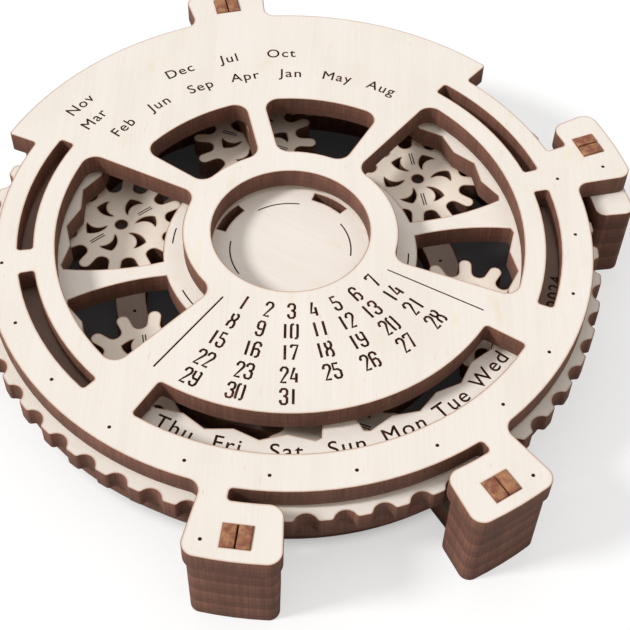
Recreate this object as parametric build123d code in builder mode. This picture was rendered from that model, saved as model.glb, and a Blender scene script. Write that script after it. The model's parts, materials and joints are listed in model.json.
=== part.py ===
"""Wooden perpetual calendar: a dial sheet over a hand-turned day wheel and six gears.

Millimetres, +Z out of the dial, +Y to twelve o'clock, +X to the right.
The origin is on the dial axis, at the back face.
Angles run from six o'clock, towards +X.
"""
import os
from math import cos, degrees, hypot, pi, radians, sin

from build123d import *

os.makedirs("parts", exist_ok=True)

# Sheet and stack
ply = 3.0
spacers_per_peg = 3
sheets_turning = 2
running_gap = (spacers_per_peg - sheets_turning) * ply / (sheets_turning + 1)
gear_z = ply + running_gap
wheel_z = gear_z + ply + running_gap
front_z = wheel_z + ply + running_gap
face_z = front_z + ply
glued_under_wheel_z = wheel_z - ply

# Clearances
glue_clearance = 0.02
running_clearance = 0.05
wheel_clearance = 0.8
tooth_clearance = 0.35
flank_clearance = 0.05
overlap = 1.0

# Front plate
plate_radius = 40.2
rim_width = 4.2
slot_width = 2.0
slot_web = 2.9
slot_outer = plate_radius - rim_width
slot_inner = slot_outer - slot_width
slot_sweep = 33.1
slot_gap_sweep = 6.4
slots_per_side = 2
slot_corner = 0.4
side_window_radius = slot_inner - slot_web
side_window_start = 56.5
side_window_sweep = 71.8
side_window_end = side_window_start + side_window_sweep
hub_hole_radius = 10.6
hub_ring_width = 3.8
hub_ring_radius = hub_hole_radius + hub_ring_width
upper_spoke_sweep = 9.2
upper_window_start = side_window_end + upper_spoke_sweep
upper_window_height = 10.5
upper_window_radius = hub_ring_radius + upper_window_height
top_spoke_width = 2.8
window_corner = 1.9
day_rim_width = 5.2
day_window_height = 5.6
day_window_outer = plate_radius - day_rim_width
day_window_inner = day_window_outer - day_window_height
day_window_half_angle = 45.0
day_window_corner = 0.5

# Lugs
arm_gap = 1.6
lug_depth = 7.8
side_lug_depth = 6.6
lug_inner = plate_radius + arm_gap
lug_outer = lug_inner + lug_depth
side_lug_outer = lug_inner + side_lug_depth
lower_lug_start = 13.1
lower_lug_sweep = 14.0
lower_lug_end = lower_lug_start + lower_lug_sweep
lower_arm_sweep = 4.9
lower_arm_start = lower_lug_end - lower_arm_sweep
side_lug_start = 89.8
side_lug_sweep = 15.7
side_lug_end = side_lug_start + side_lug_sweep
side_arm_sweep = 10.3
side_arm_end = side_lug_start + side_arm_sweep
top_lug_half_angle = 7.0
lug_corner = 1.8
arm_corner = 1.6
arm_end_corner = 0.5

# Neck beside each side lug, and the crown over the top
neck_depth = 1.3
neck_sweep = 25.9
crown_height = 3.0
neck_radius = plate_radius - neck_depth
neck_end = side_arm_end + neck_sweep
crown_radius = plate_radius + crown_height

# Split pegs and spacers
peg_width = 3.5
peg_proud = 0.3
peg_slit = 0.25
peg_slit_depth = 9.0
peg_chamfer = 0.12
peg_inset = 3.3
side_peg_inset = 3.6
lower_peg_sweep = 6.6
side_peg_sweep = 8.8
lug_peg_radius = lug_outer - peg_inset
side_peg_radius = side_lug_outer - side_peg_inset
lower_peg_angle = lower_lug_start + lower_peg_sweep
side_peg_angle = side_lug_start + side_peg_sweep
spacer_inset = 0.4
spacer_corner = 1.4
side_spacer_sweep = 5.0
side_spacer_start = side_lug_start - side_spacer_sweep

# Day wheel
wheel_reveal = 1.7
wheel_radius = plate_radius + wheel_reveal
notch_count = 56
notch_radius = 1.45
notch_depth = 1.1
notch_corner = 0.55
wheel_band = 11.15
saw_count = 28
saw_depth = 1.05
saw_valley_radius = wheel_radius - wheel_band
saw_peak_radius = saw_valley_radius - saw_depth
wheel_hub_radius = 17.2
wheel_spoke_count = 4
spoke_hub_width = 2.7
spoke_waist_width = 2.75
spoke_rim_width = 6.3
hub_slot_inner = 9.4
hub_slot_width = 1.25
hub_slot_half_angle = 14.0
spacer_inner = wheel_radius + wheel_clearance

# Gear train, its tooth sizes in modules
ring_edge = 0.3
ring_band = 6.05
ring_teeth = 48
ring_addendum = 1.14
ring_tooth_taper = 1.4
ring_tooth_corner = 0.25
ring_mesh_angle = 240.0
ring_outer = wheel_radius - notch_depth - ring_edge
ring_root = ring_outer - ring_band
planet_count = 6
planet_teeth = 12
planet_addendum = 0.552
planet_dedendum = 1.464
planet_tooth_thickness = 1.296
planet_root_fillet = 0.9
gear_module = (ring_root - tooth_clearance) / (ring_teeth / 2 + planet_addendum)
planet_orbit = gear_module * (ring_teeth - planet_teeth) / 2
planet_tip = gear_module * (planet_teeth / 2 + planet_addendum)
planet_root = gear_module * (planet_teeth / 2 - planet_dedendum)
planet_tooth_width = gear_module * planet_tooth_thickness
ring_tip = gear_module * (ring_teeth / 2 - ring_addendum)
ring_tooth_root_width = 2 * pi * ring_root / ring_teeth - planet_tooth_width - 2 * flank_clearance
ring_tooth_tip_width = ring_tooth_root_width - ring_tooth_taper
pin_radius = 0.8
pin_recess = 0.5
washer_width = 1.6
washer_radius = pin_radius + washer_width
blade_count = 6
blade_hub_width = 1.2
blade_rim_width = 1.45
blade_inner = pin_radius + blade_hub_width
blade_outer = planet_root - blade_rim_width
blade_lead = 10.0
blade_half_sweep = 11.0
blade_belly_angle = 16.0
blade_belly_share = 0.42
blade_hollow_angle = 2.0
blade_hollow_share = 0.63
blade_belly_radius = blade_inner + blade_belly_share * (blade_outer - blade_inner)
blade_hollow_radius = blade_inner + blade_hollow_share * (blade_outer - blade_inner)

# Back plate and centre post
back_hub_radius = 10.7
back_spoke_width = 4.4
carrier_step = 0.7
carrier_width = 4.1
carrier_outer = planet_orbit - carrier_step
carrier_inner = carrier_outer - carrier_width
pin_boss_width = 2.6
pin_boss_radius = pin_radius + pin_boss_width
back_rim_step = 2.0
back_rim_width = 4.3
rim_outer = plate_radius - back_rim_step
rim_inner = rim_outer - back_rim_width
post_radius = 4.0
post_foot_width = 2.5
post_foot_radius = post_radius + post_foot_width
boss_width = 3.6
boss_radius = post_radius + boss_width


def at(radius, angle):
    """Point at a radius and an angle from six o'clock."""
    return (radius * sin(radians(angle)), -radius * cos(radians(angle)))


def facing(radius, angle):
    """Place at a radius, turned so that its Y runs to the dial axis."""
    x, y = at(radius, angle)
    return Location((x, y, 0), (0, 0, angle))


def sector(inner, outer, start, end, corner=0.0):
    """Flat piece of a ring between two angles, its corners rounded."""
    middle = (start + end) / 2
    with BuildSketch() as face:
        with BuildLine():
            ThreePointArc(at(inner, start), at(inner, middle), at(inner, end))
            Line(at(inner, end), at(outer, end))
            ThreePointArc(at(outer, end), at(outer, middle), at(outer, start))
            Line(at(outer, start), at(inner, start))
        make_face()
        if corner:
            fillet(face.vertices(), radius=corner)
    return face.sketch


def peg_places():
    """Name, radius and angle of each split peg."""
    return (
        ("lower_right", lug_peg_radius, lower_peg_angle),
        ("lower_left", lug_peg_radius, -lower_peg_angle),
        ("side_right", side_peg_radius, side_peg_angle),
        ("side_left", side_peg_radius, -side_peg_angle),
        ("top", lug_peg_radius, 180.0),
    )


def planet_places():
    """Angle of each planet gear, anticlockwise from the lower right."""
    step = 360 / planet_count
    return [step * (number + 1) for number in range(planet_count)]


def lug_faces(inset):
    """Heads of the five lugs, drawn in from the dial sheet's edge by an inset."""
    turn = degrees(inset / lug_outer)
    low = lower_lug_start + turn
    high = lower_lug_end - turn
    outer = lug_outer - inset
    side_outer = side_lug_outer - inset
    side_high = side_lug_end - turn
    top = top_lug_half_angle - turn
    corner = spacer_corner if inset else lug_corner
    side_low = side_spacer_start if inset else side_lug_start
    inner = spacer_inner if inset else lug_inner
    return (
        sector(inner, outer, low, high, corner),
        sector(inner, outer, -high, -low, corner),
        sector(inner, side_outer, side_low, side_high, corner),
        sector(inner, side_outer, -side_high, -side_low, corner),
        sector(inner, outer, 180 - top, 180 + top, corner),
    )


# Front plate
with BuildSketch() as front_outline:
    Circle(plate_radius)
    for side in (1, -1):
        neck_ends = sorted((side * side_arm_end, side * neck_end))
        add(sector(neck_radius, lug_inner, *neck_ends), mode=Mode.SUBTRACT)
    add(sector(upper_window_radius, crown_radius, neck_end, 360 - neck_end))
    for lug in lug_faces(0.0):
        add(lug)
    for side in (1, -1):
        lower_arm = sorted((side * lower_arm_start, side * lower_lug_end))
        side_arm = sorted((side * side_lug_start, side * side_arm_end))
        reach = lug_inner + lug_corner + overlap
        add(sector(side_window_radius, reach, *lower_arm))
        add(sector(side_window_radius, reach, *side_arm))
    add(sector(side_window_radius, reach, 180 - top_lug_half_angle, 180 + top_lug_half_angle))

with BuildSketch() as upper_windows:
    add(sector(hub_ring_radius, upper_window_radius, upper_window_start, 360 - upper_window_start))
    with Locations((0, upper_window_radius)):
        Rectangle(top_spoke_width, 2 * upper_window_radius, mode=Mode.SUBTRACT)
    fillet(upper_windows.vertices(), radius=window_corner)

with BuildPart() as front_plate:
    with BuildSketch(Plane.XY.offset(front_z)):
        add(front_outline.sketch)
        Circle(hub_hole_radius, mode=Mode.SUBTRACT)
        add(upper_windows.sketch, mode=Mode.SUBTRACT)
        add(
            sector(
                day_window_inner,
                day_window_outer,
                -day_window_half_angle,
                day_window_half_angle,
                day_window_corner,
            ),
            mode=Mode.SUBTRACT,
        )
        for side in (1, -1):
            window = sorted((side * side_window_start, side * side_window_end))
            add(sector(hub_ring_radius, side_window_radius, *window, window_corner), mode=Mode.SUBTRACT)
            for number in range(slots_per_side):
                slot_start = side_window_start + number * (slot_sweep + slot_gap_sweep)
                slot = sorted((side * slot_start, side * (slot_start + slot_sweep)))
                add(sector(slot_inner, slot_outer, *slot, slot_corner), mode=Mode.SUBTRACT)
        for peg_name, peg_radius, peg_angle in peg_places():
            with Locations(facing(peg_radius, peg_angle)):
                Rectangle(
                    peg_width + 2 * glue_clearance,
                    ply + 2 * glue_clearance,
                    mode=Mode.SUBTRACT,
                )
    extrude(amount=ply)
    wide_spots = [at(crown_radius, 180 - top_lug_half_angle), at(crown_radius, 180 + top_lug_half_angle)]
    tight_spots = []
    for side in (1, -1):
        wide_spots.append(at(plate_radius, side * lower_lug_end))
        wide_spots.append(at(plate_radius, side * side_lug_start))
        tight_spots.append(at(plate_radius, side * lower_arm_start))
        tight_spots.append(at(lug_inner, side * lower_arm_start))
        tight_spots.append(at(neck_radius, side * side_arm_end))
        tight_spots.append(at(lug_inner, side * side_arm_end))
        tight_spots.append(at(neck_radius, side * neck_end))
        tight_spots.append(at(crown_radius, side * neck_end))
    for spots, radius in ((wide_spots, arm_corner), (tight_spots, arm_end_corner)):
        corners = [
            front_plate.edges().filter_by(Axis.Z).sort_by_distance((x, y, front_z + ply / 2))[0]
            for x, y in spots
        ]
        fillet(corners, radius=radius)
front_plate.part.label = "front_plate"
export_step(front_plate.part, "parts/front_plate.step")

# Back plate
with BuildPart() as back_plate:
    with BuildSketch():
        Circle(rim_outer)
        Circle(rim_inner, mode=Mode.SUBTRACT)
        add(sector(carrier_inner, carrier_outer, 0, 180))
        add(sector(carrier_inner, carrier_outer, 180, 360))
        Circle(back_hub_radius)
        for angle in planet_places():
            with Locations(facing((back_hub_radius + rim_inner) / 2, angle)):
                Rectangle(back_spoke_width, rim_inner - back_hub_radius + 2 * overlap)
            with Locations(at(planet_orbit, angle)):
                Circle(pin_boss_radius)
        for lug in lug_faces(spacer_inset):
            add(lug)
        for peg_name, peg_radius, peg_angle in peg_places():
            with Locations(facing((rim_inner + peg_radius) / 2, peg_angle)):
                Rectangle(peg_width + 2 * overlap, peg_radius - rim_inner - 2 * overlap)
        for angle in planet_places():
            with Locations(at(planet_orbit, angle)):
                Circle(pin_radius + glue_clearance, mode=Mode.SUBTRACT)
        for peg_name, peg_radius, peg_angle in peg_places():
            with Locations(facing(peg_radius, peg_angle)):
                Rectangle(
                    peg_width + 2 * glue_clearance,
                    ply + 2 * glue_clearance,
                    mode=Mode.SUBTRACT,
                )
    extrude(amount=ply)
back_plate.part.label = "back_plate"
export_step(back_plate.part, "parts/back_plate.step")

# Split pegs and their spacers
for (peg_name, peg_radius, peg_angle), lug in zip(peg_places(), lug_faces(spacer_inset)):
    with BuildPart() as peg:
        with Locations(facing(peg_radius, peg_angle)):
            Box(
                peg_width,
                ply,
                face_z + peg_proud,
                align=(Align.CENTER, Align.CENTER, Align.MIN),
            )
        chamfer(peg.faces().sort_by(Axis.Z)[-1].edges(), length=peg_chamfer)
        with Locations(facing(peg_radius, peg_angle) * Location((0, 0, face_z + peg_proud))):
            Box(
                peg_slit,
                2 * ply,
                peg_slit_depth,
                align=(Align.CENTER, Align.CENTER, Align.MAX),
                mode=Mode.SUBTRACT,
            )
    peg.part.label = "peg_" + peg_name
    export_step(peg.part, "parts/peg_" + peg_name + ".step")
    for level in range(spacers_per_peg):
        with BuildPart() as spacer:
            with BuildSketch(Plane.XY.offset(ply * (level + 1))):
                add(lug)
                with Locations(facing(peg_radius, peg_angle)):
                    Rectangle(
                        peg_width + 2 * glue_clearance,
                        ply + 2 * glue_clearance,
                        mode=Mode.SUBTRACT,
                    )
            extrude(amount=ply)
        spacer_name = "spacer_" + peg_name + "_" + str(level + 1)
        spacer.part.label = spacer_name
        export_step(spacer.part, "parts/" + spacer_name + ".step")

# Day wheel
saw_points = []
for tooth in range(saw_count):
    saw_points.append(at(saw_peak_radius, 360 * tooth / saw_count))
    saw_points.append(at(saw_valley_radius, 360 * (tooth + 0.5) / saw_count))

with BuildSketch() as wheel_spoke:
    spoke_hub = wheel_hub_radius - overlap
    spoke_rim = saw_valley_radius + overlap
    spoke_middle = (spoke_hub + spoke_rim) / 2
    with BuildLine():
        ThreePointArc(
            (spoke_hub, spoke_hub_width / 2),
            (spoke_middle, spoke_waist_width / 2),
            (spoke_rim, spoke_rim_width / 2),
        )
        Line((spoke_rim, spoke_rim_width / 2), (spoke_rim, -spoke_rim_width / 2))
        ThreePointArc(
            (spoke_rim, -spoke_rim_width / 2),
            (spoke_middle, -spoke_waist_width / 2),
            (spoke_hub, -spoke_hub_width / 2),
        )
        Line((spoke_hub, -spoke_hub_width / 2), (spoke_hub, spoke_hub_width / 2))
    make_face()

with BuildPart() as day_wheel:
    with BuildSketch(Plane.XY.offset(wheel_z)) as wheel_outline:
        Circle(wheel_radius)
        with PolarLocations(wheel_radius - notch_depth + notch_radius, notch_count, 180 / notch_count - 90):
            Circle(notch_radius, mode=Mode.SUBTRACT)
        fillet(wheel_outline.vertices(), radius=notch_corner)
        Polygon(*saw_points, align=None, mode=Mode.SUBTRACT)
        Circle(wheel_hub_radius)
        with PolarLocations(0, wheel_spoke_count):
            add(wheel_spoke.sketch)
        for number in range(wheel_spoke_count):
            middle = 360 * (number + 0.5) / wheel_spoke_count
            add(
                sector(
                    hub_slot_inner,
                    hub_slot_inner + hub_slot_width,
                    middle - hub_slot_half_angle,
                    middle + hub_slot_half_angle,
                ),
                mode=Mode.SUBTRACT,
            )
    extrude(amount=ply)
day_wheel.part.label = "day_wheel"
export_step(day_wheel.part, "parts/day_wheel.step")

# Ring gear
with BuildSketch() as ring_tooth:
    with BuildLine():
        Polyline(
            (ring_tip, ring_tooth_tip_width / 2),
            (ring_root, ring_tooth_root_width / 2),
            (ring_root + overlap, ring_tooth_root_width / 2),
            (ring_root + overlap, -ring_tooth_root_width / 2),
            (ring_root, -ring_tooth_root_width / 2),
            (ring_tip, -ring_tooth_tip_width / 2),
            close=True,
        )
    make_face()
    fillet(ring_tooth.vertices().sort_by(Axis.X)[:2], radius=ring_tooth_corner)

with BuildPart() as ring_gear:
    with BuildSketch(Plane.XY.offset(glued_under_wheel_z)):
        Circle(ring_outer)
        Circle(ring_root, mode=Mode.SUBTRACT)
        with PolarLocations(0, ring_teeth, ring_mesh_angle - 90):
            add(ring_tooth.sketch)
    extrude(amount=ply)
ring_gear.part.label = "ring_gear"
export_step(ring_gear.part, "parts/ring_gear.step")

# Hub boss
with BuildPart() as hub_boss:
    with BuildSketch(Plane.XY.offset(glued_under_wheel_z)):
        Circle(boss_radius)
        Circle(post_radius + running_clearance, mode=Mode.SUBTRACT)
    extrude(amount=ply)
hub_boss.part.label = "hub_boss"
export_step(hub_boss.part, "parts/hub_boss.step")

# Centre post
with BuildPart() as centre_post:
    with BuildSketch(Plane.XY.offset(ply)):
        Circle(post_foot_radius)
    extrude(amount=glued_under_wheel_z - ply - running_clearance)
    with BuildSketch(Plane.XY.offset(ply)):
        Circle(post_radius)
    extrude(amount=wheel_z - ply - running_clearance)
centre_post.part.label = "centre_post"
export_step(centre_post.part, "parts/centre_post.step")

# Planet gears, their pins and washers
with BuildSketch() as planet_profile:
    Circle(planet_root)
    with PolarLocations(0, planet_teeth):
        with Locations((planet_tip - planet_tooth_width / 2, 0)):
            Circle(planet_tooth_width / 2)
        with Locations(((planet_tip - planet_tooth_width / 2) / 2, 0)):
            Rectangle(planet_tip - planet_tooth_width / 2, planet_tooth_width)
    reach = hypot(planet_root, planet_tooth_width / 2)
    fillet(
        planet_profile.vertices().filter_by(lambda v: hypot(v.X, v.Y) < reach),
        radius=planet_root_fillet,
    )

with BuildSketch() as blade:
    blade_tip = at(blade_inner, 0)
    blade_front = at(blade_outer, blade_half_sweep)
    blade_back = at(blade_outer, -blade_half_sweep)
    with BuildLine():
        ThreePointArc(blade_tip, at(blade_belly_radius, blade_belly_angle), blade_front)
        ThreePointArc(blade_front, at(blade_outer, 0), blade_back)
        ThreePointArc(blade_back, at(blade_hollow_radius, blade_hollow_angle), blade_tip)
    make_face()

for number, angle in enumerate(planet_places(), start=1):
    ring_pitch = 360 / ring_teeth
    planet_pitch = 360 / planet_teeth
    mesh_phase = ((ring_mesh_angle - angle) % ring_pitch) / ring_pitch
    planet_turn = angle - 90 + planet_pitch * (mesh_phase + 0.5)
    planet_x, planet_y = at(planet_orbit, angle)
    with BuildPart() as planet:
        with BuildSketch(Plane.XY.offset(gear_z)):
            with Locations(Location((planet_x, planet_y, 0), (0, 0, planet_turn))):
                add(planet_profile.sketch)
            with Locations((planet_x, planet_y)):
                Circle(pin_radius + running_clearance, mode=Mode.SUBTRACT)
                with PolarLocations(0, blade_count, planet_turn + 90 + blade_lead):
                    add(blade.sketch, mode=Mode.SUBTRACT)
        extrude(amount=ply)
    planet.part.label = "planet_gear_" + str(number)
    export_step(planet.part, "parts/planet_gear_" + str(number) + ".step")

    with BuildPart() as gear_pin:
        with Locations((planet_x, planet_y)):
            Cylinder(
                pin_radius,
                gear_z + ply - pin_recess,
                align=(Align.CENTER, Align.CENTER, Align.MIN),
            )
    gear_pin.part.label = "gear_pin_" + str(number)
    export_step(gear_pin.part, "parts/gear_pin_" + str(number) + ".step")

    with BuildPart() as gear_washer:
        with BuildSketch(Plane.XY.offset(ply)):
            with Locations((planet_x, planet_y)):
                Circle(washer_radius)
                Circle(pin_radius + glue_clearance, mode=Mode.SUBTRACT)
        extrude(amount=running_gap - running_clearance)
    gear_washer.part.label = "gear_washer_" + str(number)
    export_step(gear_washer.part, "parts/gear_washer_" + str(number) + ".step")
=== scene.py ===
# %% [markdown]
# # A wooden perpetual calendar
#
# The calendar is a stack of laser-cut birch plywood: a pierced dial sheet, a notched day wheel
# behind it, six small gears and a back sheet, all held together by split pegs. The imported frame
# already holds every sheet at its real size and place, so this lesson never moves one. It gives
# each sheet the eased and scorched edges that a laser leaves, a wood finish, and the burnt
# numbers and names that make a pile of gears into a calendar.

# %% Load the frame
import json
import math

import bmesh
import bpy
from mathutils import Euler, Matrix, Vector

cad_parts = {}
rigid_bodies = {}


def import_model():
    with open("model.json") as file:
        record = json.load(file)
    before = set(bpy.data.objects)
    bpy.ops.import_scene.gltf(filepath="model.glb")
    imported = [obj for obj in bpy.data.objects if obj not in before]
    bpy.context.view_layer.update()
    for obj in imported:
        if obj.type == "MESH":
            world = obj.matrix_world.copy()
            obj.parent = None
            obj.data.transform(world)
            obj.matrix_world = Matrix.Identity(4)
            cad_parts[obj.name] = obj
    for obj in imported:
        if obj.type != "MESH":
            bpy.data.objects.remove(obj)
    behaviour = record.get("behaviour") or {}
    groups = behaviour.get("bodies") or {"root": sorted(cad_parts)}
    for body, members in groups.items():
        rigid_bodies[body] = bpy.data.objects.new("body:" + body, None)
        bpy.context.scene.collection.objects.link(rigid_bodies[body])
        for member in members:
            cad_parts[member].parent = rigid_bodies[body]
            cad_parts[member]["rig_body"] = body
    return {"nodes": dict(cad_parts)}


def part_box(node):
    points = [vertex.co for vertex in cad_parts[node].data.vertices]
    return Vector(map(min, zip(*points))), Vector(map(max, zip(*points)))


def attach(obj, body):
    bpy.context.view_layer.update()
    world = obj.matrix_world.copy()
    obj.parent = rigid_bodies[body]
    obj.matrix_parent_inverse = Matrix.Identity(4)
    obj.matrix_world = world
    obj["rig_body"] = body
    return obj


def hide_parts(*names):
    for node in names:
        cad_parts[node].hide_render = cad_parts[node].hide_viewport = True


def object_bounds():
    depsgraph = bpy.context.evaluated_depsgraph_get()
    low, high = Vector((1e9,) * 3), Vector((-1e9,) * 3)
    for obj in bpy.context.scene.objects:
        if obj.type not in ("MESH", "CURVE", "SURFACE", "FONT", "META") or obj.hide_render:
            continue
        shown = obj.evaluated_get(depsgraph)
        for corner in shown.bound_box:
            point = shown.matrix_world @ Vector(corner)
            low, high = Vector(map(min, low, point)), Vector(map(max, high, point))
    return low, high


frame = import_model()
cad_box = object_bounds()
mm = 0.001


def in_mm(lengths):
    """Lengths in metres as rounded millimetres, for printing."""
    return [round(length / mm, 2) for length in lengths]


print("nodes:", len(frame["nodes"]), "size in mm:", in_mm(cad_box[1] - cad_box[0]))

# %% [markdown]
# ## The camera
#
# The picture is taken from the dial's six o'clock side, a little to the left, looking down at about
# fifty degrees. A place could be found by turning the view by hand, but the round dial gives it away:
# its rings become ellipses, and one pinhole camera explains all of them. The camera's place, turn
# and lens are written here as that fit gave them. Depth of field stays off, so that every other
# view of the model is as sharp as this one.

# %% Set the camera
camera_place = Vector((-25.836, -116.512, 151.695)) * mm
camera_turn = Euler([math.radians(turn) for turn in (37.51, -1.126, -12.771)])
camera_lens = 77.7
camera_nearest = 10 * mm


def put(name, data):
    """A new object, linked to the scene."""
    thing = bpy.data.objects.new(name, data)
    bpy.context.scene.collection.objects.link(thing)
    return thing


camera = put("dial_camera", bpy.data.cameras.new("dial_camera"))
camera.location = camera_place
camera.rotation_euler = camera_turn
camera.data.lens = camera_lens
camera.data.clip_start = camera_nearest
bpy.context.scene.camera = camera
bpy.context.scene.view_settings.view_transform = "Standard"
print("camera stands", round(camera_place.length / mm), "mm from the dial's centre")

# %% [markdown]
# ## Shader sums written as sums
#
# A finish is a graph of small nodes. Placing them one by one hides what they work out, so a small
# class wraps a socket and lets `1 - mask` or `tone * 0.3` add the Math nodes. Everything that isn't
# a plain sum goes through one method, which sets a node's options first and then feeds its sockets.


# %% Wrap a socket so that it can take part in sums
class Wire:
    """An output socket. Arithmetic on it adds Math nodes to its tree."""

    def __init__(self, tree, socket):
        self.tree = tree
        self.socket = socket

    def feed(self, socket):
        self.tree.links.new(self.socket, socket)

    def sum(self, operation, first, second):
        return node_in(self.tree, "ShaderNodeMath", {"operation": operation}, {0: first, 1: second})

    def __add__(self, other):
        return self.sum("ADD", self, other)

    def __radd__(self, other):
        return self.sum("ADD", other, self)

    def __sub__(self, other):
        return self.sum("SUBTRACT", self, other)

    def __rsub__(self, other):
        return self.sum("SUBTRACT", other, self)

    def __mul__(self, other):
        return self.sum("MULTIPLY", self, other)

    def __rmul__(self, other):
        return self.sum("MULTIPLY", other, self)

    def __pow__(self, other):
        return self.sum("POWER", self, other)


def node_in(tree, kind, settings=None, sockets=None, output=0):
    """A new node: its settings first, then the values or links of its sockets."""
    node = tree.nodes.new(kind)
    for name, value in (settings or {}).items():
        setattr(node, name, value)
    for name, value in (sockets or {}).items():
        if isinstance(value, Wire):
            value.feed(node.inputs[name])
        else:
            node.inputs[name].default_value = value
    return Wire(tree, node.outputs[output]) if node.outputs else None


def mix_in(tree, factor, first, second):
    """Mixes two colours. A Mix node takes them at its inputs 6 and 7, and gives one at its output 2."""
    sockets = {0: factor, 6: first, 7: second}
    return node_in(tree, "ShaderNodeMix", {"data_type": "RGBA"}, sockets, output=2)


print("shader sums ready")


# %% A finish under construction
class Finish:
    """A material with one Principled shader, and the few patterns that wood needs."""

    def __init__(self, name):
        self.material = bpy.data.materials.new(name)
        self.material.use_nodes = True
        self.tree = self.material.node_tree
        self.tree.nodes.clear()

    def node(self, kind, settings=None, sockets=None, output=0):
        return node_in(self.tree, kind, settings, sockets, output)

    def attribute(self, name, output="Fac"):
        return self.node("ShaderNodeAttribute", {"attribute_name": name}, output=output)

    def place(self):
        """A spot's place in the frame, in metres."""
        return self.node("ShaderNodeTexCoord", output="Object")

    def reach(self):
        """How far a spot is from the dial's axis, in metres."""
        flat = self.stretch(self.place(), (1.0, 1.0, 0.0))
        return self.node("ShaderNodeVectorMath", {"operation": "LENGTH"}, {0: flat}, output="Value")

    def stretch(self, vector, factors):
        """A vector with each of its parts scaled."""
        return self.node("ShaderNodeVectorMath", {"operation": "MULTIPLY"}, {0: vector, 1: factors})

    def noise(self, vector, factors, detail=2.0, roughness=0.5):
        """A soft random pattern, finer along an axis the larger its factor is."""
        stretched = self.stretch(vector, factors)
        sockets = {"Vector": stretched, "Scale": 1.0, "Detail": detail, "Roughness": roughness}
        return self.node("ShaderNodeTexNoise", None, sockets)

    def ease(self, value, low, high):
        """0 at low, 1 at high, and a smooth step between them."""
        sockets = {"Value": value, "From Min": low, "From Max": high}
        return self.node("ShaderNodeMapRange", {"interpolation_type": "SMOOTHSTEP"}, sockets)

    def blend(self, factor, first, second):
        return mix_in(self.tree, factor, first, second)

    def finish(self, colour, roughness, height, depth, gloss=0.3):
        """Feeds the shader and its bump, and gives the finished material."""
        bump = {"Height": height, "Strength": 1.0, "Distance": depth}
        normal = self.node("ShaderNodeBump", None, bump)
        sockets = {"Base Color": colour, "Roughness": roughness, "Specular IOR Level": gloss}
        sockets["Normal"] = normal
        shader = self.node("ShaderNodeBsdfPrincipled", None, sockets)
        self.node("ShaderNodeOutputMaterial", None, {"Surface": shader})
        return self.material


def tint(red, green, blue):
    """A screen colour, 0 to 255, as linear light."""
    parts = [part / 255 for part in (red, green, blue)]
    return (*[((part + 0.055) / 1.055) ** 2.4 for part in parts], 1.0)


print("birch white as linear light:", [round(part, 3) for part in tint(243, 235, 226)])

# %% [markdown]
# ## Light
#
# The real thing lies on white, with a window's light from the left that throws short shadows into
# the openings, a broad lamp overhead and a white room around. A sun lamp with a wide disc stands for
# the window, because its shadows are alike everywhere, a disc lamp is the one overhead, and the world
# is the room. Its light is a little warm, as pale walls make it, but where it is seen directly or in a
# reflection it is plain white. Together they give a level face about the light that shows a colour as
# it is written.

# %% Light the table
key_from = Vector((-0.772, 0.0, 0.636))
key_strength = 2.2
key_spread = math.radians(12)
overhead_height = 0.6
overhead_width = 0.84
overhead_power = 1.4


def add_lamp(name, kind, **settings):
    """A lamp of a kind with its settings, linked to the scene."""
    lamp = put(name, bpy.data.lights.new(name, kind))
    for setting, value in settings.items():
        setattr(lamp.data, setting, value)
    return lamp


window_lamp = add_lamp("window_lamp", "SUN", energy=key_strength, angle=key_spread)
window_lamp.rotation_euler = key_from.to_track_quat("Z", "Y").to_euler()
overhead_disc = {"shape": "DISK", "size": overhead_width, "energy": overhead_power}
overhead_lamp = add_lamp("overhead_lamp", "AREA", **overhead_disc)
overhead_lamp.location.z = overhead_height
print("window light from", [round(part, 2) for part in key_from])
print("lamp overhead at", overhead_height, "m")

# %% Light the room
room_strength = 0.29
room_tint = (1.0, 0.965, 0.92, 1.0)
white = (1.0, 1.0, 1.0, 1.0)

room = bpy.data.worlds.new("white_room")
room.use_nodes = True
room.node_tree.nodes.clear()
seen = [
    node_in(room.node_tree, "ShaderNodeLightPath", output=output)
    for output in ("Is Camera Ray", "Is Glossy Ray", "Is Transmission Ray")
]
direct = node_in(room.node_tree, "ShaderNodeClamp", None, {"Value": seen[0] + seen[1] + seen[2]})
room_light = direct * (1 - room_strength) + room_strength
room_sockets = {"Color": mix_in(room.node_tree, direct, room_tint, white), "Strength": room_light}
background = node_in(room.node_tree, "ShaderNodeBackground", None, room_sockets)
node_in(room.node_tree, "ShaderNodeOutputWorld", None, {"Surface": background})
bpy.context.scene.world = room
print("room light:", room_strength)

# %% [markdown]
# ## The floor
#
# The floor is one pale sheet that keeps the shadow. Where the camera looks at it directly, its own
# colour is a little darker, and it glows by a fixed amount on top, so that bare floor comes out as
# white paper and the shadow stays soft. The glow grows with the distance from the stack, so the sheet
# has no visible end. Between the gears, though, the real thing shows nearly black, and white paper
# would shine there. So shade is painted on the sheet: a dark round patch under the stack, with only a
# faint glow where the camera sees it, which the stack hides nearly everywhere but through its openings.

# %% Lay the floor
floor_size = 6.0
floor_drop = 0.05 * mm
floor_level = cad_box[0].z - floor_drop


def mesh_from(shape, name):
    """Mesh data from a finished bmesh, which is then freed."""
    data = bpy.data.meshes.new(name)
    shape.to_mesh(data)
    shape.free()
    return data


floor_shape = bmesh.new()
bmesh.ops.create_grid(floor_shape, x_segments=1, y_segments=1, size=floor_size / 2)
bmesh.ops.translate(floor_shape, verts=floor_shape.verts, vec=(0, 0, floor_level))
floor = put("floor", mesh_from(floor_shape, "floor"))
print("floor at", round(floor_level / mm, 2), "mm")

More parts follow.
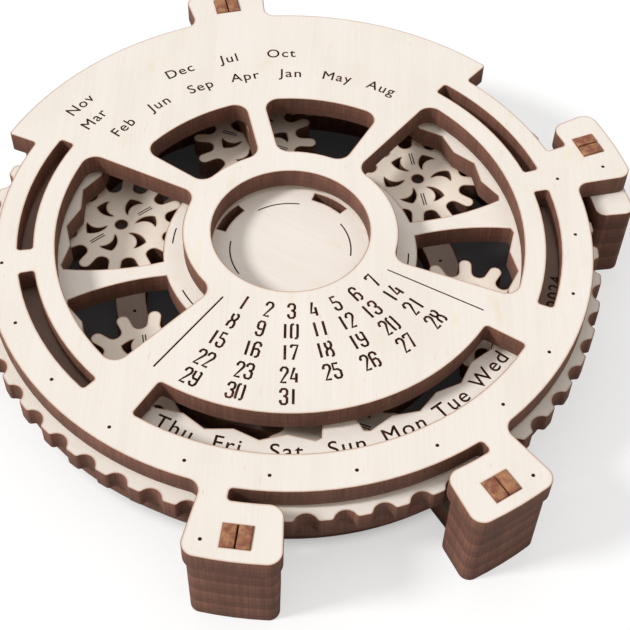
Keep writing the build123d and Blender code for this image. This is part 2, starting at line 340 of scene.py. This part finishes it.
# %% Paint the floor
floor_albedo = 0.58
floor_lift = 0.56
floor_fade = 0.12
# deep_shade is the colour of the shade painted under the stack, deep_lift the faint glow it keeps where
# the camera sees it.
deep_shade = (0.055, 0.05, 0.05, 1.0)
deep_lift = 0.01
far_lift = 0.16
far_ends = (0.12, 0.9)
shade_ends = (35 * mm, 40 * mm)
mottle_scale = (40.0, 40.0, 40.0)
mottle_share = 0.02

paper = Finish("paper_floor")
paper_seen = paper.node("ShaderNodeLightPath", output="Is Camera Ray")
mottle = paper.noise(paper.place(), mottle_scale)
paper_tone = mottle * mottle_share + floor_albedo - paper_seen * floor_fade
reach = paper.reach()
# open_floor is 0 in the painted shade under the stack and 1 on bare floor.
open_floor = paper.ease(reach, *shade_ends)
paper_colour = paper.blend(open_floor, deep_shade, paper_tone)
paper_diffuse = paper.node("ShaderNodeBsdfDiffuse", None, {"Color": paper_colour})
far_floor = paper.ease(reach, *far_ends)
paper_lift = paper_seen * (open_floor * floor_lift + far_floor * far_lift + deep_lift)
paper_glow = paper.node("ShaderNodeEmission", None, {"Color": white, "Strength": paper_lift})
paper_both = paper.node("ShaderNodeAddShader", None, {0: paper_diffuse, 1: paper_glow})
paper.node("ShaderNodeOutputMaterial", None, {"Surface": paper_both})
floor.data.materials.append(paper.material)
print("dark patch ends between", in_mm(shade_ends), "mm from the axis")

# %% [markdown]
# ## Birch plywood
#
# The sheets are three-millimetre birch ply: a pale face with fine straight fibres, and a cut edge
# that the laser has scorched brown. The finish needs to know four things about each spot, and they
# travel with the mesh as attributes: `grain`, the spot's place measured across and along the fibres
# in millimetres; `rise`, how far up the sheet's thickness it is; `burn`, which is 1 at the rim of a
# cut and fades to 0 a little way in; and `cut`, which is 1 on a cut wall. So one recipe serves every
# sheet, whichever way its fibres run. Patterns on a face are scaled across, along and through the
# fibres, per millimetre. Those on a wall are scaled along the frame's axes, per metre.

# %% Choose the plywood's scales and colours
fibre_scale = (4.2, 0.10, 1.0)
band_scale = (0.30, 0.012, 1.0)
blotch_scale = (0.12, 0.07, 1.0)
fleck_scale = (3.4, 0.42, 1.0)
resin_scale = (0.42, 0.16, 1.0)
stripe_scale = (3600.0, 3600.0, 0.0)
soot_scale = (420.0, 420.0, 160.0)
half_ply = 1 / 6

fleck_tint = tint(192, 164, 136)
resin_tint = tint(238, 222, 184)
# The colour of painted shade, on the wheel under the slots and on the back sheet's inner face.
painted_shade_tint = tint(130, 101, 87)
toast_tint = tint(186, 130, 88)
wall_tints = (tint(119, 83, 70), tint(148, 103, 84))
stripe_tint = tint(80, 53, 43)
soot_tint = tint(90, 64, 54)
glue_tint = tint(58, 38, 31)
tick_tint = tint(176, 142, 122)
# Near black, for the painted shade of the gears' deep openings.
gear_wall_shade_tint = tint(24, 15, 12)
print("fibres are about", round(1 / fibre_scale[0], 2), "mm apart")


# %% Mix the plywood
# char is the share by which painted shade darkens the walls.
def plywood(name, pale, deep, painted_shade=None, char=0.0):
    """Birch ply: pale fibrous faces, brown laser-cut walls, a thin toasted rim between them."""
    wood = Finish(name)
    grain = wood.attribute("grain", "Vector")
    rise = wood.attribute("rise")
    burn = wood.attribute("burn")
    cut = wood.attribute("cut")
    place = wood.place()

    fibres = wood.noise(grain, fibre_scale, detail=3.0)
    bands = wood.noise(grain, band_scale, detail=2.0)
    blotch = wood.noise(grain, blotch_scale)
    flecks = wood.ease(wood.noise(grain, fleck_scale), 0.70, 0.80)
    resin = wood.ease(wood.noise(grain, resin_scale), 0.62, 0.78)
    tone = fibres * 0.35 + bands * 0.3 + blotch * 0.35
    face = wood.blend(wood.ease(tone, 0.3, 0.7), pale, deep)
    face = wood.blend(flecks * 0.3, face, fleck_tint)
    face = wood.blend(resin * 0.35, face, resin_tint)
    # Painted shade, where the mask says so.
    if painted_shade:
        face = wood.blend(painted_shade(wood) * (0.84 + bands * 0.16), face, painted_shade_tint)
    toast = wood.blend(burn**2.2 * 0.85, face, toast_tint)

    stripes = wood.noise(place, stripe_scale, detail=3.0, roughness=0.7)
    soot = wood.noise(place, soot_scale, detail=2.0)
    ply = {0: rise - half_ply, 1: half_ply}
    glue = wood.ease(wood.node("ShaderNodeMath", {"operation": "PINGPONG"}, ply), 0.13, 0.165)
    wall = wood.blend(wood.ease(rise, 0.0, 1.0), *wall_tints)
    wall = wood.blend(wood.ease(stripes, 0.35, 0.7) * 0.5, wall, stripe_tint)
    wall = wood.blend(wood.ease(soot, 0.35, 0.7) * 0.4, wall, soot_tint)
    wall = wood.blend(glue * 0.3, wall, glue_tint)
    ticks = wood.ease(stripes, 0.58, 0.72) * wood.ease(rise, 0.42, 0.1)
    wall = wood.blend(ticks * 0.35, wall, tick_tint)
    # Walls darkened by painted shade, by the given share.
    if char:
        wall = wood.blend(char, wall, gear_wall_shade_tint)

    colour = wood.blend(cut, toast, wall)
    height = fibres * (1 - cut) * 0.4 + stripes * cut
    return wood.finish(colour, 0.62 + cut * 0.14, height, depth=0.006 * mm)


birch_tints = (tint(247, 240, 232), tint(240, 231, 221))
washer_tints = (tint(236, 222, 202), tint(220, 200, 174))
birch_ply = plywood("birch_ply", *birch_tints)
washer_ply = plywood("washer_ply", *washer_tints)
print("finishes:", birch_ply.name, washer_ply.name)

# %% [markdown]
# ## Sheets with painted shade
#
# Through the dial's slots the wheel is brown to the bottom, and so is the back sheet between the
# gears: both lie in deep shade there, and that shade is painted on. The gears' faces are a little
# warmer than the dial, and their walls are nearly black, with the shade of the deep openings painted
# on. Each could have a recipe of its own, but they are the same ply with one thing more, so the
# recipe takes either a mask that says where painted shade lies, or the share by which painted shade
# darkens the walls. The wheel's mask is a ring under the slots that spares the day names. The back
# sheet's covers its inner face only.

# %% Mix the finishes with painted shade
band_ends = (33.4 * mm, 38.8 * mm)
band_lowest = -20.5 * mm
band_soft = 0.3 * mm
inside_shade = 0.85
gear_tints = (tint(250, 239, 225), tint(243, 230, 214))
# The share of painted shade on the gears' walls.
gear_wall_shade = 0.45


def under_the_slots(wood):
    """Painted shade: 1 in a ring that passes under the dial's slots, and 0 beside the day names."""
    inner, outer = band_ends
    reach = wood.reach()
    across = wood.node("ShaderNodeSeparateXYZ", None, {0: wood.place()}, output="Y")
    ring = wood.ease(reach, inner, inner + band_soft) * wood.ease(reach, outer, outer - band_soft)
    return ring * wood.ease(across, band_lowest, band_lowest + band_soft)


def on_the_inside(wood):
    """Painted shade on a sheet's upper face only."""
    return wood.ease(wood.attribute("rise"), 0.5, 1.0) * inside_shade


wheel_ply = plywood("wheel_ply", *birch_tints, under_the_slots)
back_ply = plywood("back_ply", *birch_tints, on_the_inside)
gear_ply = plywood("gear_ply", *gear_tints, char=gear_wall_shade)
print("finishes:", wheel_ply.name, back_ply.name, gear_ply.name)

# %% [markdown]
# ## Dressing a sheet
#
# A sheet in the frame is a plain prism, a flat outline pulled up by the sheet's thickness. A laser
# leaves its rim a touch rounded and toasts a narrow margin of the face. Bevelling the rim works too,
# but insetting the two faces twice gives both at once: the first inset leaves a ring that is sunk to
# make the eased edge, and the second leaves a ring for the toasted margin. The frame's own object is
# never changed, so all this happens on a copy, whose loose triangles are merged first.

# %% Ease the rims of a copy
merge_distance = 0.0005 * mm
eased_edge = 0.05 * mm
toasted_margin = 0.34 * mm
flat_enough = 0.9


def merged_copy(node):
    """A node's mesh as a bmesh whose triangles share their corners."""
    copy = bmesh.new()
    copy.from_mesh(frame["nodes"][node].data)
    bmesh.ops.remove_doubles(copy, verts=copy.verts, dist=merge_distance)
    return copy


def ease_rims(sheet, low, high):
    """Sinks the rims of both faces and marks how burnt each corner is."""
    burn = sheet.verts.layers.float.new("burn")
    faces = [face for face in sheet.faces if abs(face.normal.z) > flat_enough]
    bmesh.ops.inset_region(sheet, faces=faces, thickness=eased_edge, use_boundary=True)
    inside = {corner for face in faces for corner in face.verts}
    middle = (low.z + high.z) / 2
    for corner in sheet.verts:
        corner[burn] = 1.0
        if corner not in inside:
            corner.co.z += math.copysign(eased_edge, middle - corner.co.z)
    bmesh.ops.inset_region(sheet, faces=faces, thickness=toasted_margin, use_boundary=True)
    for face in faces:
        for corner in face.verts:
            corner[burn] = 0.0


print("eased edge and toasted margin in mm:", in_mm([eased_edge, toasted_margin]))

# %% Mark the wood and dress the dial
grain_shift = 1.7
crease = math.radians(32)
dial_turn = -14


def mark_wood(sheet, low, high, turn):
    """Writes the fibres' own coordinates, the rise through the sheet and the cut walls."""
    rise = sheet.verts.layers.float.new("rise")
    grain = sheet.verts.layers.float_vector.new("grain")
    cut = sheet.faces.layers.float.new("cut")
    along_fibres = Matrix.Rotation(-turn, 4, "Z")
    own_board = Vector((low.x, low.y, low.z)) / mm * grain_shift
    for corner in sheet.verts:
        corner[rise] = (corner.co.z - low.z) / (high.z - low.z)
        corner[grain] = along_fibres @ corner.co / mm + own_board
    sheet.normal_update()
    for face in sheet.faces:
        face[cut] = 0.0 if abs(face.normal.z) > flat_enough else 1.0


def stand_in(mesh, node, material):
    """Makes a bmesh the piece that stands for a frame node, on the node's own body."""
    data = mesh_from(mesh, node + "_dressed")
    data.materials.append(material)
    data.shade_smooth()
    data.set_sharp_from_angle(angle=crease)
    piece = put(node + "_dressed", data)
    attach(piece, frame["nodes"][node]["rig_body"])
    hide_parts(node)
    return piece


def dress_sheet(node, turn_degrees, material=birch_ply):
    """Eases, marks and replaces one sheet, whose fibres run at a turn of their own."""
    low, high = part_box(node)
    sheet = merged_copy(node)
    ease_rims(sheet, low, high)
    mark_wood(sheet, low, high, math.radians(turn_degrees))
    return stand_in(sheet, node, material)


dial = dress_sheet("front_plate", dial_turn)
print("dial sheet:", len(dial.data.polygons), "faces")

# %% [markdown]
# ## The other sheets
#
# Every sheet was nested on a board for cutting, so its fibres run whichever way it happened to lie.
# Giving each its own turn keeps the gears from looking printed. The turn follows from the sheet's
# number, so the picture is the same every time.

# %% Dress the wheel, the gears, the back sheet and the spacers
fibre_step = 47
half_turn = 180


def nodes_called(start):
    """The frame's nodes whose names start alike, in order."""
    return sorted(name for name in frame["nodes"] if name.startswith(start))


dress_sheet("day_wheel", fibre_step, wheel_ply)
dress_sheet("back_plate", 0, back_ply)
plain_sheets = ["ring_gear", "hub_boss"] + nodes_called("spacer")
for number, name in enumerate(plain_sheets):
    dress_sheet(name, fibre_step * number % half_turn)
gears = nodes_called("planet_gear")
for number, name in enumerate(gears):
    dress_sheet(name, fibre_step * number % half_turn, gear_ply)
washers = nodes_called("gear_washer")
for number, name in enumerate(washers):
    dress_sheet(name, fibre_step * number, washer_ply)
print("plain sheets:", len(plain_sheets), "gears:", len(gears), "washers:", len(washers))

# %% [markdown]
# ## Split pegs, pins and the centre post
#
# The pegs are short strips of the same ply driven through the stack and split at the top, so that
# they spread and hold. Only their burnt ends show. The gear pins and the post are plain turned rod,
# made nearly black with painted shade. Bevelling their edges by a hair is all the shape that they need.

# %% Mix the peg and rod finishes
patch_scale = (900.0, 900.0, 500.0)
thread_scale = (5200.0, 5200.0, 300.0)
stain_scale = (1500.0, 1500.0, 1500.0)
rod_scale = (4200.0, 4200.0, 260.0)
peg_tints = (tint(140, 86, 66), tint(178, 128, 92))
stain_tint = tint(112, 82, 76)
thread_tint = tint(92, 58, 44)
# Nearly black: painted shade on the pins and the post.
pin_shade_tints = (tint(26, 18, 15), tint(50, 35, 28))


def burnt_end(name):
    """The end of a peg: three plies crossing, scorched unevenly."""
    peg = Finish(name)
    place = peg.place()
    patches = peg.noise(place, patch_scale, detail=3.0)
    threads = peg.noise(place, thread_scale, detail=2.0)
    stains = peg.noise(place, stain_scale, detail=1.0)
    colour = peg.blend(peg.ease(patches, 0.35, 0.65), *peg_tints)
    colour = peg.blend(peg.ease(stains, 0.55, 0.72) * 0.7, colour, stain_tint)
    colour = peg.blend(peg.ease(threads, 0.45, 0.75) * 0.4, colour, thread_tint)
    return peg.finish(colour, 0.72 + patches * 0.1, threads, depth=0.012 * mm)


def turned_rod(name):
    """Rod stock: fine fibres along it, dark with painted shade."""
    rod = Finish(name)
    fibres = rod.noise(rod.place(), rod_scale, detail=3.0)
    colour = rod.blend(rod.ease(fibres, 0.3, 0.7), *pin_shade_tints)
    return rod.finish(colour, 0.6 + fibres * 0.1, fibres, depth=0.01 * mm)


peg_wood = burnt_end("peg_wood")
pin_wood = turned_rod("pin_wood")
print("finishes:", peg_wood.name, pin_wood.name)

# %% Dress the pegs, pins and post
peg_bevel = 0.04 * mm
pin_bevel = 0.08 * mm
level_edge = math.radians(1)
sharp_edge = math.radians(40)


def dress_rod(node, material, bevel):
    """Merges a rod's level triangles, bevels its sharp edges and replaces it."""
    rod = merged_copy(node)
    bmesh.ops.dissolve_limit(rod, angle_limit=level_edge, verts=rod.verts, edges=rod.edges)
    sharp = [edge for edge in rod.edges if edge.calc_face_angle(0.0) > sharp_edge]
    bmesh.ops.bevel(rod, geom=sharp, offset=bevel, segments=2, profile=0.5, affect="EDGES", material=-1)
    stand_in(rod, node, material)


pegs = nodes_called("peg_")
for name in pegs:
    dress_rod(name, peg_wood, peg_bevel)
pins = nodes_called("gear_pin") + ["centre_post"]
for name in pins:
    dress_rod(name, pin_wood, pin_bevel)
print("pegs:", len(pegs), "pins and post:", len(pins))

# %% [markdown]
# ## Burnt lines
#
# Numbers, names and marks are burnt into the sheets as thin dark strokes. A stroke could be cut
# into the sheet with a Boolean, but at a quarter of a millimetre a flattened tube that lies half in
# the wood reads the same and costs far less. A curve with a bevel draws it: the curve is made a mesh
# while it is still flat, and only then squashed and laid in its place on the sheet.

# %% Mix the char
speck_scale = (3000.0, 3000.0, 3000.0)
worn_scale = (700.0, 700.0, 700.0)
line_tints = (tint(42, 23, 17), tint(66, 38, 27))
worn_tint = tint(94, 56, 39)


def scorched(name):
    """Charred wood in a burnt line: nearly black brown, a little uneven."""
    char = Finish(name)
    specks = char.noise(char.place(), speck_scale, detail=2.0)
    worn = char.noise(char.place(), worn_scale)
    colour = char.blend(char.ease(specks, 0.3, 0.75), *line_tints)
    colour = char.blend(char.ease(worn, 0.5, 0.75), colour, worn_tint)
    return char.finish(colour, 0.8 + specks * 0.1, specks, depth=0.01 * mm, gloss=0.05)


char_line = scorched("char_line")
print("finish:", char_line.name)

# %% Draw burnt strokes
stroke_relief = 0.1


def stroke_mesh(lines, width):
    """One mesh of burnt strokes along flat lines of points, in millimetres."""
    curve = bpy.data.curves.new("strokes", "CURVE")
    curve.dimensions = "3D"
    curve.bevel_depth = width / 2 * mm
    curve.bevel_resolution = 1
    curve.use_fill_caps = True
    for line in lines:
        spline = curve.splines.new("POLY")
        spline.points.add(len(line) - 1)
        for point, (x, y) in zip(spline.points, line):
            point.co = (x * mm, y * mm, 0.0, 1.0)
    drawn = bpy.data.objects.new("strokes", curve)
    data = bpy.data.meshes.new_from_object(drawn)
    bpy.data.objects.remove(drawn)
    data.transform(Matrix.Scale(stroke_relief, 4, (0, 0, 1)))
    return data


print("a stroke is", stroke_relief, "times as high as it is wide")


# %% Lay strokes on a sheet
def lay_on(placed, name, body):
    """Joins meshes, each with its place, into one piece of char that rides on a body."""
    joined = bmesh.new()
    for data, place in placed:
        laid = data.copy()
        laid.transform(place)
        joined.from_mesh(laid)
        bpy.data.meshes.remove(laid)
    bmesh.ops.recalc_face_normals(joined, faces=joined.faces)
    data = mesh_from(joined, name)
    data.materials.append(char_line)
    data.shade_smooth()
    piece = put(name, data)
    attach(piece, body)
    return piece


def spot(radius, angle, height, turn=0.0):
    """A place on the dial: radius in mm, angle from six o'clock, turned so that up is the axis."""
    turned = Matrix.Rotation(math.radians(angle + turn), 4, "Z")
    around = Matrix.Rotation(math.radians(angle), 4, "Z")
    x, y, z = around @ Vector((0, -radius * mm, 0))
    return Matrix.Translation((x, y, z + height)) @ turned


print("a spot at six o'clock, in mm:", in_mm(spot(20, 0, 0).translation))

# %% [markdown]
# ## The thirty-one dates
#
# The dates fan out under the hub in seven columns, one for each day shown in the window below. The
# numerals are a narrow drawing-office hand: straight strokes with clipped corners, open where the
# pen would lift. A font file would give round, filled letters, so each numeral is a few short lines
# on a grid one wide and one high, and a date is one or two of them side by side. A few dates on the
# real dial stand a little off their column, and a small shift along the row keeps that.

# %% Draw the numerals
numerals = {
    "0": [
        [(0.42, 1), (0.1, 0.97), (0, 0.86), (0, 0.1), (0.14, 0)],
        [(0.84, 1), (1, 0.9), (1, 0.12), (0.85, 0), (0.55, 0)],
    ],
    "1": [[(0.5, 0), (0.5, 1)]],
    "2": [[(0, 0.72), (0, 0.86), (0.25, 1), (0.75, 1), (1, 0.87), (1, 0.7), (0, 0), (0.85, 0)]],
    "3": [
        [(0, 0.74), (0, 0.88), (0.25, 1), (0.75, 1), (1, 0.88), (1, 0.66), (0.72, 0.53), (0.42, 0.53)],
        [(0.72, 0.53), (1, 0.4), (1, 0.12), (0.75, 0), (0.22, 0), (0, 0.13), (0, 0.27)],
    ],
    "4": [[(0.55, 1), (0, 0.25), (1, 0.25)], [(0.86, 0.62), (0.86, 0)]],
    "5": [
        [(0.8, 1), (0, 1), (0, 0.6), (0.6, 0.6), (1, 0.46)]
        + [(1, 0.12), (0.75, 0), (0.25, 0), (0, 0.13), (0, 0.28)],
    ],
    "6": [
        [(1, 0.73), (1, 0.88), (0.75, 1), (0.3, 1), (0, 0.86), (0, 0)],
        [(0, 0.5), (0.68, 0.55), (1, 0.42), (1, 0.12), (0.78, 0), (0.45, 0)],
    ],
    "7": [[(0, 0.82), (0, 0.96), (0.1, 1), (1, 1), (0.3, 0)]],
    "8": [
        [(0.05, 0.98), (0.05, 0.72), (0.25, 0.55), (0.25, 0.5), (0, 0.33), (0, 0.02)],
        [(0.5, 1), (0.8, 1), (0.96, 0.9), (0.96, 0.72), (0.75, 0.55), (0.75, 0.5), (1, 0.33)],
        [(1, 0.33), (1, 0.08), (0.85, 0), (0.6, 0)],
        [(0.25, 0.53), (0.75, 0.53)],
    ],
    "9": [
        [(0.75, 0.46), (0.2, 0.46), (0, 0.6), (0, 0.86), (0.25, 1), (0.75, 1), (1, 0.88)],
        [(1, 0.88), (1, 0.14), (0.75, 0), (0.25, 0), (0, 0.13), (0, 0.24)],
    ],
    "y": [
        [(0, 0.98), (0, 0.6), (0.22, 0.46), (1, 0.46)],
        [(0.68, 1), (1, 0.92), (1, 0.14), (0.75, 0), (0.25, 0), (0, 0.13), (0, 0.24)],
    ],
}
print("numerals drawn:", len(numerals), "with an open nine, y")

# %% Write a number
numeral_height = 2.23
numeral_width = 0.81
narrow_width = 0.72
numeral_gap = 0.4
numeral_stroke = 0.35


def number_lines(number):
    """The strokes of a number, centred on its own middle. After another digit, a nine stays open."""
    digits = str(number) if number < 10 else str(number).replace("9", "y")
    widths = [narrow_width if digit == "1" else numeral_width for digit in digits]
    left = -(sum(widths) + numeral_gap * (len(widths) - 1)) / 2
    lines = []
    for digit, width in zip(digits, widths):
        for line in numerals[digit]:
            lines.append([(left + x * width, (y - 0.5) * numeral_height) for x, y in line])
        left += width + numeral_gap
    return lines


print("the number 31 takes", len(number_lines(31)), "strokes")

# %% Burn the dates
date_count = 31
week = 7
full_turn = 360
columns_round = 28
column_step = full_turn / columns_round
row_radii = (13.8, 17.0, 20.3, 23.7, 26.9)
dial_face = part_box("front_plate")[1].z
fan_turn = -0.1
nudges = {1: 0.3, 2: 0.5, 3: 0.32, 6: -0.16, 8: 0.35, 9: 0.25, 10: 0.15, 11: 0.15, 13: -0.15, 17: 0.18}
nudges |= {19: -0.1, 23: -0.08, 24: 0.15, 25: 0.2, 26: -0.14, 29: -0.2, 30: -0.37, 31: 0.1}
dates = []
for date in range(1, date_count + 1):
    row, column = divmod(date - 1, week)
    place = spot(row_radii[row], (column - week // 2) * column_step + fan_turn, dial_face)
    place @= Matrix.Translation((nudges.get(date, 0.0) * mm, 0, 0))
    dates.append((stroke_mesh(number_lines(date), numeral_stroke), place))
date_numbers = lay_on(dates, "date_numbers", "frame")
print("dates:", len(dates), "faces:", len(date_numbers.data.polygons))

# %% [markdown]
# ## Names, years and months
#
# The wheel carries the day names that pass under the window below the dates, one for each column and
# one more to either side, and a few years farther out that pass under the curved slots. The months
# stand over the upper windows. These are small round letters, so the program's own plain font will
# do: a text object with a bevel that thickens it, made a mesh while flat, then squashed and laid on
# its sheet. As with the dates, small shifts keep the names where they were burnt.

# %% Set the small lettering
letter_spacing = 1.16
letter_relief = 0.2
letter_weight = 0.025
capital_share = 0.7


def word_mesh(word, height):
    """A word as a thin solid, its outlines thickened, with capitals of a height in mm."""
    text = bpy.data.curves.new("word", "FONT")
    text.body = word
    text.size = height / capital_share * mm
    text.bevel_depth = letter_weight * mm
    text.bevel_resolution = 0
    text.space_character = letter_spacing
    text.align_x = "CENTER"
    text.align_y = "CENTER"
    written = bpy.data.objects.new("word", text)
    data = bpy.data.meshes.new_from_object(written)
    bpy.data.objects.remove(written)
    data.transform(Matrix.Scale(letter_relief, 4, (0, 0, 1)))
    return data


print("capitals are", capital_share, "of a letter's size")

# %% Burn the day names
wheel_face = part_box("day_wheel")[1].z
day_words = ("Sun", "Mon", "Tue", "Wed", "Thu", "Fri", "Sat")
day_radius = 32.28
day_height = 2.1
farthest_day = 4
day_shifts = {-3: 0.08, -2: -0.2, -1: -0.12, 0: 0.16, 1: 0.42, 2: 0.34, 3: 0.48}
days = []
for column in range(-farthest_day, farthest_day + 1):
    word = word_mesh(day_words[column % week], day_height)
    place = spot(day_radius, column * column_step, wheel_face)
    place @= Matrix.Translation((day_shifts.get(column, 0.0) * mm, 0, 0))
    days.append((word, place))
lay_on(days, "day_names", "wheel")
print("day names:", len(days))

# %% Burn the years
year_radius = 35.9
year_height = 1.7
first_year = 2024
year_count = 4
first_year_angle = 66.0
columns_between_years = 4
year_step = columns_between_years * column_step
years = []
for number in range(year_count):
    word = word_mesh(str(first_year + number), year_height)
    years.append((word, spot(year_radius, first_year_angle + year_step * number, wheel_face)))
lay_on(years, "year_numbers", "wheel")
print("years:", len(years))

# %% Burn the months
month_columns = (
    ("Feb", "Mar", "Nov"),
    ("Jun",),
    ("Sep", "Dec"),
    ("Apr", "Jul"),
    ("Jan", "Oct"),
    ("May",),
    ("Aug",),
)
month_radii = (30.2, 34.5, 38.0)
month_height = 1.7
month_shifts = (0.65, 3.1, 1.6)
months = []
for column, words in enumerate(month_columns):
    angle = half_turn - (column - len(month_columns) // 2) * column_step
    for word, radius, shift in zip(words, month_radii, month_shifts):
        place = spot(radius, angle + shift, dial_face, turn=half_turn)
        months.append((word_mesh(word, month_height), place))
lay_on(months, "month_names", "frame")
print("months:", len(months))

# %% [markdown]
# ## Marks and dots
#
# Two fine lines fence off the dates. A row of small burnt dots runs round the dial's lower rim, with
# one on each lower and side lug and two on the back sheet. Short arcs mark the wheel's hub, and each
# gear has two pairs of lines that show how it was timed when the stack was put together. The lines
# and arcs are strokes like the numerals, so the same helpers draw them. A dot is a flat cone that is
# laid on in the same way.

# %% Burn the lines beside the dates
fence_angle = 49.0
fence_span = (14.4, 28.1)
fence_strokes = {1: 0.19, -1: 0.25}
fences = []
for side, stroke in fence_strokes.items():
    fence = stroke_mesh([[(0, -radius) for radius in fence_span]], stroke)
    fences.append((fence, spot(0, side * fence_angle, dial_face)))
lay_on(fences, "date_fences", "frame")
print("lines:", len(fences))

# %% Burn the wheel's arcs
arc_steps = 14
arc_stroke = 0.2
hub_arc_radius, hub_arc_half = 8.2, 21
ring_arc_radius, ring_arc_half = 16.0, 5
ring_arc_turn = 20
quarter = 90
quarters = range(0, full_turn, quarter)


def arc_line(radius, half_angle):
    """Points of a flat arc about six o'clock."""
    turns = [math.radians(half_angle * (2 * step / arc_steps - 1)) for step in range(arc_steps + 1)]
    return [(radius * math.sin(turn), -radius * math.cos(turn)) for turn in turns]


hub_arc = stroke_mesh([arc_line(hub_arc_radius, hub_arc_half)], arc_stroke)
ring_arc = stroke_mesh([arc_line(ring_arc_radius, ring_arc_half)], arc_stroke)
arcs = [(hub_arc, spot(0, angle, wheel_face)) for angle in quarters]
for angle in quarters:
    for side in (1, -1):
        arcs.append((ring_arc, spot(0, angle + ring_arc_turn * side, wheel_face)))
lay_on(arcs, "wheel_marks", "wheel")
print("wheel arcs:", len(arcs))

# %% Burn the gears' timing marks
mark_angles = {1: 117, 2: 177, 3: 57, 4: 117, 5: 177, 6: 57}
mark_span = (2.9, 5.2)
mark_offset = 0.18
mark_stroke = 0.17
pair = [[(side * mark_offset, -radius) for radius in mark_span] for side in (1, -1)]
mark = stroke_mesh(pair, mark_stroke)
for number, angle in mark_angles.items():
    low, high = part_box(f"planet_gear_{number}")
    centre = Matrix.Translation(((low.x + high.x) / 2, (low.y + high.y) / 2, 0))
    marks = [(mark, centre @ spot(0, angle + turn, high.z)) for turn in (0, half_turn)]
    lay_on(marks, f"gear_marks_{number}", f"planet_{number}")
print("gears marked:", len(mark_angles))

# %% Burn the dots
dot_radius = 0.27
dot_taper = 0.8
dot_relief = 0.012
dot_sides = 12
rim_dot_radius = 38.0
rim_dot_step = 15.43
rim_dot_turn = -0.4
rim_dots = range(-6, 7)
lug_dots = ((47.3, 24.6), (45.0, 93.0))
back_dot_radius = 21.9
back_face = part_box("back_plate")[1].z

dot_shape = bmesh.new()
bmesh.ops.create_cone(
    dot_shape,
    cap_ends=True,
    segments=dot_sides,
    radius1=dot_radius * mm,
    radius2=dot_radius * dot_taper * mm,
    depth=2 * dot_relief * mm,
)
dot = mesh_from(dot_shape, "dot")
rim_angles = [rim_dot_step * number + rim_dot_turn for number in rim_dots]
dots = [(dot, spot(rim_dot_radius, angle, dial_face)) for angle in rim_angles]
for side in (1, -1):
    dots += [(dot, spot(radius, side * angle, dial_face)) for radius, angle in lug_dots]
    dots.append((dot, spot(back_dot_radius, side * quarter, back_face)))
lay_on(dots, "burnt_dots", "frame")
print("dots:", len(dots))
